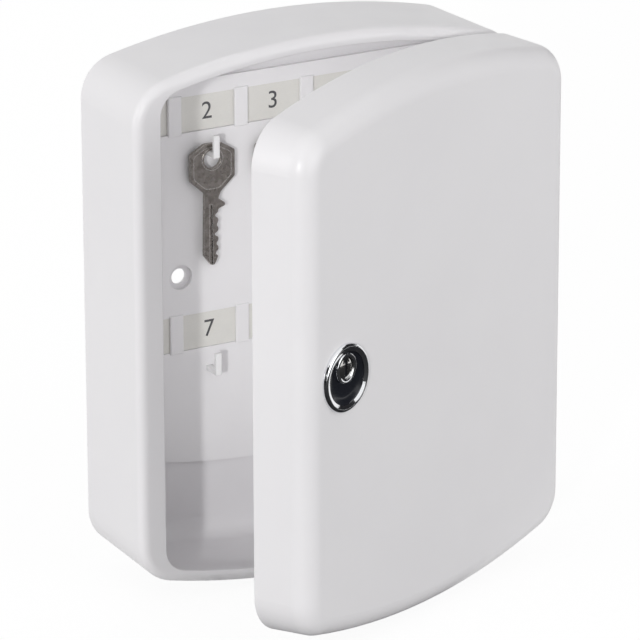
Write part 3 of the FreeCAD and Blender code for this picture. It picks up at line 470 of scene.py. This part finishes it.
metal.links.new(given.outputs["Stain"], stained.inputs[7])
soft_edge = add_node(metal, "ShaderNodeBevel", {"samples": 4})
metal.links.new(given.outputs["Edge width"], soft_edge.inputs["Radius"])
true_face = add_node(metal, "ShaderNodeNewGeometry")
alike = add_node(metal, "ShaderNodeVectorMath", {"operation": "DOT_PRODUCT"})
metal.links.new(soft_edge.outputs[0], alike.inputs[0])
metal.links.new(true_face.outputs["Normal"], alike.inputs[1])
edge = add_node(metal, "ShaderNodeMapRange")
edge.inputs["From Min"].default_value = 0.995
edge.inputs["From Max"].default_value = 0.86
metal.links.new(alike.outputs["Value"], edge.inputs["Value"])
worn_and_glint = add_node(metal, "ShaderNodeMix", {"data_type": "RGBA"})
metal.links.new(edge.outputs[0], worn_and_glint.inputs[0])
metal.links.new(stained.outputs[2], worn_and_glint.inputs[6])
metal.links.new(given.outputs["Worn edge and glint"], worn_and_glint.inputs[7])
metal.links.new(worn_and_glint.outputs[2], made.inputs["Colour"])
metal.links.new(spread(metal, stain.outputs["Fac"], given.outputs["Smooth"], given.outputs["Rough"]),
                made.inputs["Roughness"])
brush_bump = add_node(metal, "ShaderNodeBump", Distance=0.00002)
metal.links.new(given.outputs["Brushing"], brush_bump.inputs["Strength"])
metal.links.new(brush.outputs["Fac"], brush_bump.inputs["Height"])
metal.links.new(brush_bump.outputs["Normal"], made.inputs["Normal"])


def plated_metal(name, colour, stain_colour, worn_and_glint_colour, smooth, rough, brushing, edge_width,
                 stain_size=260.0):
    """A metal with uneven plating, brushed lines and brighter edges: worn, and on the keys also a painted
    highlight.
    """
    material, tree, shader = new_material(name, colour)
    finish = add_node(tree, "ShaderNodeGroup", {"node_tree": metal})
    for socket, shade in (("Colour", colour), ("Stain", stain_colour), ("Worn edge and glint", worn_and_glint_colour)):
        finish.inputs[socket].default_value = (*shade, 1)
    for socket, value in (("Smooth", smooth), ("Rough", rough), ("Brushing", brushing),
                          ("Edge width", edge_width), ("Stain size", stain_size)):
        finish.inputs[socket].default_value = value
    tree.links.new(finish.outputs["Colour"], shader.inputs["Base Color"])
    tree.links.new(finish.outputs["Roughness"], shader.inputs["Roughness"])
    tree.links.new(finish.outputs["Normal"], shader.inputs["Normal"])
    shader.inputs["Metallic"].default_value = 1
    return material


pin_steel = plated_metal("pin_steel", (0.50, 0.49, 0.47), (0.42, 0.41, 0.39), (0.66, 0.65, 0.63),
                         0.26, 0.40, 0.25, 0.0002)
dress("hinge_pin_upper", pin_steel)
dress("hinge_pin_lower", pin_steel)


# Door. A deep lid in the same white ABS as the box, hung on the two pins and standing ajar.
# Its broad face is a little more polished, with the same faint orange peel.
door_white = moulded_plastic("door_white", (0.84, 0.828, 0.843), (0.826, 0.814, 0.83), 0.32, 0.42, 0.05, 0.04)
dress("door_shell", door_white)
hinge_axis = Vector((0.1018, -0.0545, 0))
door_ajar = math.radians(22.3)
door_place = Matrix.Translation(hinge_axis) @ Matrix.Rotation(door_ajar, 4, "Z")


# Lock. A chrome ring holds a black dish, and the round boss of the lock sits low in the dish.
# The ring is turned from a rounded strip, and the dish is pressed in behind it.
lock_x = -0.1723
lock_z = 0.0070
ring_z = 0.0025
door_face_y = -0.0320
ring_outer = 0.0160
ring_inner = 0.0124
ring_height = 0.0025
ring_slope = 0.0012
ring_round = 0.0023
ring_round_steps = 12
dish_gap = 0.00002
dish_seat = (ring_height - ring_slope) * 0.6
dish_steps = [(0.0006, -0.0001), (0.0012, -0.0003), (0.0014, -0.0002), (0.0010, -0.0001)]
dish_thickness = 0.0008
turned_steps = 96


def lock_place(level):
    """From a turned shape on the Z axis, front towards +Z, to its place on the door's face."""
    return (door_place @ Matrix.Translation((lock_x, door_face_y, level))
            @ Matrix.Rotation(math.radians(90), 4, "X"))


def settle(piece, place):
    """Moves a shape to its place in its mesh and closes its doubles, with its faces outwards."""
    bpy.ops.object.select_all(action="DESELECT")
    piece.select_set(True)
    bpy.context.view_layer.objects.active = piece
    bpy.ops.object.mode_set(mode="EDIT")
    bpy.ops.mesh.select_all(action="SELECT")
    bpy.ops.mesh.remove_doubles(threshold=close)
    bpy.ops.mesh.normals_make_consistent(inside=False)
    bpy.ops.object.mode_set(mode="OBJECT")
    piece.data.transform(place)
    bpy.ops.object.shade_smooth_by_angle(angle=smooth_angle)
    bpy.ops.object.select_all(action="DESELECT")


def strip_section(name, inner, outer, back, front):
    """A flat strip in the XZ plane: the section of a turned ring, ready to be spun about Z."""
    bpy.ops.object.select_all(action="DESELECT")
    bpy.ops.mesh.primitive_plane_add(size=1, rotation=(math.radians(90), 0, 0),
                                     location=((inner + outer) / 2, 0, (back + front) / 2))
    piece = bpy.context.object
    piece.name = name
    piece.scale = (outer - inner, front - back, 1)
    bpy.ops.object.transform_apply(location=True, rotation=True, scale=True)
    return piece


def spin_round(piece):
    """Spins the section right round the Z axis."""
    bpy.ops.object.mode_set(mode="EDIT")
    bpy.ops.mesh.select_all(action="SELECT")
    bpy.ops.mesh.spin(steps=turned_steps, angle=2 * math.pi, center=(0, 0, 0), axis=(0, 0, 1))
    bpy.ops.object.mode_set(mode="OBJECT")


lock_chrome = plated_metal("lock_chrome", (0.86, 0.87, 0.89), (0.82, 0.83, 0.85), (0.92, 0.93, 0.95),
                           0.04, 0.09, 0.05, 0.0002, 400.0)
ring = strip_section("lock_ring", ring_inner, ring_outer, 0, ring_height)
bpy.ops.object.mode_set(mode="EDIT")
select_where(ring, "vertices", lambda point: point.co.z > close and point.co.x < ring_inner + close)
bpy.ops.transform.translate(value=(0, 0, -ring_slope))
select_where(ring, "vertices", lambda point: point.co.z > close and point.co.x > ring_outer - close)
bpy.ops.mesh.bevel(offset=ring_round, segments=ring_round_steps, affect="VERTICES")
spin_round(ring)
settle(ring, lock_place(ring_z))
ring.data.materials.append(lock_chrome)
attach(ring, "door")
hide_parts("lock_rosette")

lock_black = moulded_plastic("lock_black", (0.010, 0.011, 0.015), (0.016, 0.018, 0.026),
                             0.14, 0.22, 0.05, 0.02)
lock_black.node_tree.nodes["Principled BSDF"].inputs["Coat Weight"].default_value = 0.15
bpy.ops.mesh.primitive_circle_add(vertices=turned_steps, radius=ring_inner - dish_gap, fill_type="NGON",
                                  location=(0, 0, dish_seat))
dish = bpy.context.object
dish.name = "lock_dish"
bpy.ops.object.transform_apply(location=True, rotation=True, scale=True)
bpy.ops.object.mode_set(mode="EDIT")
bpy.ops.mesh.select_all(action="SELECT")
for step_in, step_back in dish_steps:
    bpy.ops.mesh.inset(thickness=step_in, depth=step_back)
bpy.ops.object.mode_set(mode="OBJECT")
dish_wall = dish.modifiers.new("wall", "SOLIDIFY")
dish_wall.thickness = dish_thickness
dish_wall.offset = -1
bpy.ops.object.modifier_apply(modifier="wall")
settle(dish, lock_place(ring_z))
dish.data.materials.append(lock_black)
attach(dish, "door")


# Lock barrel. The polished housing stands out of the dish as a round boss whose mouth slopes in to
# the plug, and runs through the door behind it. It is turned from one bar and chrome plated.
boss_outer = 0.0072
boss_front = 0.0013
boss_seat = -0.0006
boss_round = 0.0011
boss_round_steps = 6
barrel_outer = 0.0066
barrel_bore = 0.00535
barrel_back = -0.0329
mouth_depth = 0.0002
housing = strip_section("lock_barrel_housing", barrel_bore, barrel_outer, barrel_back, boss_seat)
bpy.ops.object.mode_set(mode="EDIT")
select_where(housing, "edges", lambda edge: all(
    abs(housing.data.vertices[v].co.z - boss_seat) < close for v in edge.vertices))
bpy.ops.mesh.extrude_region_move(TRANSFORM_OT_translate={"value": (0, 0, boss_front - boss_seat)})
select_where(housing, "edges", lambda edge: all(
    housing.data.vertices[v].co.x > barrel_outer - close
    and housing.data.vertices[v].co.z > boss_seat - close for v in edge.vertices))
bpy.ops.mesh.extrude_region_move(TRANSFORM_OT_translate={"value": (boss_outer - barrel_outer, 0, 0)})
select_where(housing, "vertices", lambda point: point.co.z > 0 and point.co.x < barrel_bore + close)
bpy.ops.transform.translate(value=(0, 0, -mouth_depth))
select_where(housing, "vertices", lambda point: point.co.z > 0 and point.co.x > boss_outer - close)
bpy.ops.mesh.bevel(offset=boss_round, segments=boss_round_steps, affect="VERTICES")
spin_round(housing)
settle(housing, lock_place(lock_z))
housing.data.materials.append(lock_chrome)
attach(housing, "door")
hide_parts("lock_housing")


# Lock plug. The plated cylinder that turns in the boss, with a domed face, an upright keyway and a
# square tail that drives the cam. The wafers that show in the keyway are stamped brass.
plug_radius = 0.0053
plug_edge = 0.0002
plug_back = -0.0332
plug_dome = [(0.0006, 0.00022), (0.0009, 0.00024), (0.0013, 0.00018), (0.0014, 0.00008)]
plug_round = 0.00015
tail_half = 0.0035
tail_back = -0.0351
tail_overlap = 0.001
keyway_half = 0.00095
keyway_rise = 0.0038
keyway_depth = 0.024


def cut_away(piece, tool):
    """Takes a tool's shape out of a piece and throws the tool away."""
    cut = piece.modifiers.new("cut", "BOOLEAN")
    cut.operation = "DIFFERENCE"
    cut.object = tool
    cut.solver = "EXACT"
    bpy.context.view_layer.objects.active = piece
    bpy.ops.object.modifier_apply(modifier="cut")
    bpy.data.objects.remove(tool, do_unlink=True)


bpy.ops.mesh.primitive_cylinder_add(vertices=turned_steps, radius=plug_radius, depth=plug_edge - plug_back,
                                    location=(0, 0, (plug_edge + plug_back) / 2))
plug = bpy.context.object
plug.name = "lock_plug_piece"
bpy.ops.object.transform_apply(location=True, rotation=True, scale=True)
bpy.ops.object.mode_set(mode="EDIT")
select_where(plug, "polygons", lambda face: face.normal.z > 0.9)
for step_in, step_out in plug_dome:
    bpy.ops.mesh.inset(thickness=step_in, depth=step_out)
bpy.ops.object.mode_set(mode="OBJECT")
tail = block("lock_plug_tail", Vector((-tail_half, -tail_half, tail_back)),
             Vector((tail_half, tail_half, plug_back + tail_overlap)))
joint = plug.modifiers.new("joint", "BOOLEAN")
joint.operation = "UNION"
joint.object = tail
bpy.context.view_layer.objects.active = plug
bpy.ops.object.modifier_apply(modifier="joint")
bpy.data.objects.remove(tail, do_unlink=True)
cutter = block("keyway", Vector((-keyway_half, -keyway_rise, -keyway_depth)),
               Vector((keyway_half, keyway_rise, keyway_depth)))
cut_away(plug, cutter)
bevel_piece(plug, plug_round, 2, 35)
settle(plug, lock_place(lock_z))
lock_nickel = plated_metal("lock_nickel", (0.74, 0.73, 0.71), (0.66, 0.65, 0.63), (0.90, 0.90, 0.88),
                           0.06, 0.13, 0.06, 0.00012, 500.0)
plug.data.materials.append(lock_nickel)
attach(plug, "lock_barrel")
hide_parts("lock_plug")
wafer_brass = plated_metal("wafer_brass", (0.70, 0.52, 0.24), (0.55, 0.40, 0.18), (0.82, 0.66, 0.36),
                           0.20, 0.36, 0.15, 0.0001)
dress("lock_wafers", wafer_brass)


# Lock fittings inside the door. A backplate, a hexagon nut, the cam and its screw, in bright
# zinc-plated steel with the dull patches that plating has.
zinc_steel = plated_metal("zinc_steel", (0.62, 0.62, 0.60), (0.48, 0.49, 0.49), (0.78, 0.78, 0.76),
                          0.24, 0.42, 0.20, 0.0003, 380.0)
for name in ("lock_backplate", "lock_nut", "lock_cam", "cam_screw"):
    dress(name, zinc_steel)


# Keys. Two nickel-plated keys of the lock hang on the second and third hooks. Each is stamped
# from flat bar with an eight-sided bow, a sunk field inside a raised border, and a grooved blade.
# Their edges and raised border are painted near-white: partly wear, and partly a painted highlight along the
# border.
key_nickel = plated_metal("key_nickel", (0.385, 0.362, 0.335), (0.28, 0.26, 0.235), (0.95, 0.93, 0.90),
                          0.18, 0.32, 0.20, 0.0005, 420.0)
key_thickness = 0.0022
key_hole = 0.0044
key_edge = 0.00035
border = 0.0019
field_depth = 0.0003
field_edge = 0.0001
field_corner = 0.0012
hole_border = 0.0010
bow_rise = 0.0076
key_corner = 0.0006
groove_left = {1: -0.00192, -1: 0.00032}
groove_width, groove_depth, groove_length, groove_start = 0.0016, 0.0006, 0.0320, 0.0540
key_front_edge = 0.0028
first_cut, cut_pitch, cut_flat = 0.0275, 0.0046, 0.0004
cut_depths = (0.0015, 0.0007, 0.0018, 0.0010, 0.0014)
bow_right = [(0.0043, bow_rise), (0.0117, 0.0032), (0.0117, -0.0096), (0.0043, -0.0162)]
field_shares = [(0.45, 1), (1, 0.55), (1, -0.45), (0.45, -1)]     # how much of the border each corner gives


def soften(corners, radius):
    """Each corner of an outline becomes a small arc of three points."""
    rounded = []
    for i, corner in enumerate(corners):
        here = Vector(corner)
        before, after = Vector(corners[i - 1]), Vector(corners[(i + 1) % len(corners)])
        reach = min(radius, (before - here).length * 0.4, (after - here).length * 0.4)
        first = here + (before - here).normalized() * reach
        last = here + (after - here).normalized() * reach
        rounded += [first, (first + last + 2 * here) / 4, last]
    return rounded


def flat_shape(name, outlines, half_depth, edge_round):
    """A plate cut along flat outlines, with its edges rounded, made from a 2D curve."""
    curve = bpy.data.curves.new(name, "CURVE")
    curve.dimensions = "2D"
    curve.fill_mode = "BOTH"
    for outline in outlines:
        spline = curve.splines.new("POLY")
        spline.points.add(len(outline) - 1)
        for point, (x, y) in zip(spline.points, outline):
            point.co = (x, y, 0, 1)
        spline.use_cyclic_u = True
    curve.extrude = half_depth - edge_round
    curve.bevel_depth = edge_round
    curve.bevel_resolution = 2
    curve.offset = -edge_round
    piece = bpy.data.objects.new(name, curve)
    bpy.context.scene.collection.objects.link(piece)
    bpy.ops.object.select_all(action="DESELECT")
    piece.select_set(True)
    bpy.context.view_layer.objects.active = piece
    bpy.ops.object.convert(target="MESH")
    return bpy.context.object


def round_outline(radius, steps=48):
    return [(radius * math.cos(2 * math.pi * i / steps), radius * math.sin(2 * math.pi * i / steps))
            for i in range(steps)]


blade = [(0.0028, -0.0194), (0.0064, -0.0220), (0.0064, -0.0233), (0.0028, -0.0246)]
for i, depth in enumerate(cut_depths):
    level = -first_cut - cut_pitch * i
    quarter = cut_pitch / 4
    blade += [(key_front_edge, level + quarter + cut_flat), (key_front_edge - depth, level + cut_flat),
              (key_front_edge - depth, level - cut_flat), (key_front_edge, level - quarter - cut_flat)]
blade += [(0.0007, -0.0515), (-0.0012, -0.0515), (-0.0048, -0.0467)]
key_outline = bow_right + blade + [(-x, z) for x, z in reversed(bow_right)]
key = flat_shape("key_piece_2", [soften(key_outline, key_corner), round_outline(key_hole)],
                 key_thickness / 2, key_edge)
bpy.ops.object.mode_set(mode="EDIT")
bpy.ops.mesh.select_all(action="SELECT")
bpy.ops.mesh.remove_doubles(threshold=close)
bpy.ops.mesh.normals_make_consistent(inside=False)
bpy.ops.object.mode_set(mode="OBJECT")
field_right = [(x - border * across, z - border * along)
               for (x, z), (across, along) in zip(bow_right, field_shares)]
field = field_right + [(-x, z) for x, z in reversed(field_right)]
for side in (1, -1):
    sunk = flat_shape("key_field", [soften(field, field_corner), round_outline(key_hole + hole_border)],
                      field_depth, field_edge)
    sunk.data.transform(Matrix.Translation((0, 0, side * key_thickness / 2)))
    cut_away(key, sunk)
    groove_low = Vector((groove_left[side], -groove_start, side * key_thickness / 2 - groove_depth))
    groove = block("key_groove", groove_low,
                   groove_low + Vector((groove_width, groove_length, 2 * groove_depth)))
    cut_away(key, groove)
key.select_set(True)
bpy.context.view_layer.objects.active = key
low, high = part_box("key_2")
key_z = high.z - bow_rise
settle(key, Matrix.Translation(((low.x + high.x) / 2, (low.y + high.y) / 2, key_z))
       @ Matrix.Rotation(math.radians(90), 4, "X"))
key.data.materials.append(key_nickel)
second_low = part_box("key_3")[0]
second_key = copy_of(key, "key_piece_3", second_low - low)
for number, piece in ((2, key), (3, second_key)):
    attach(piece, "key_%d_body" % number)
    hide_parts("key_%d" % number)
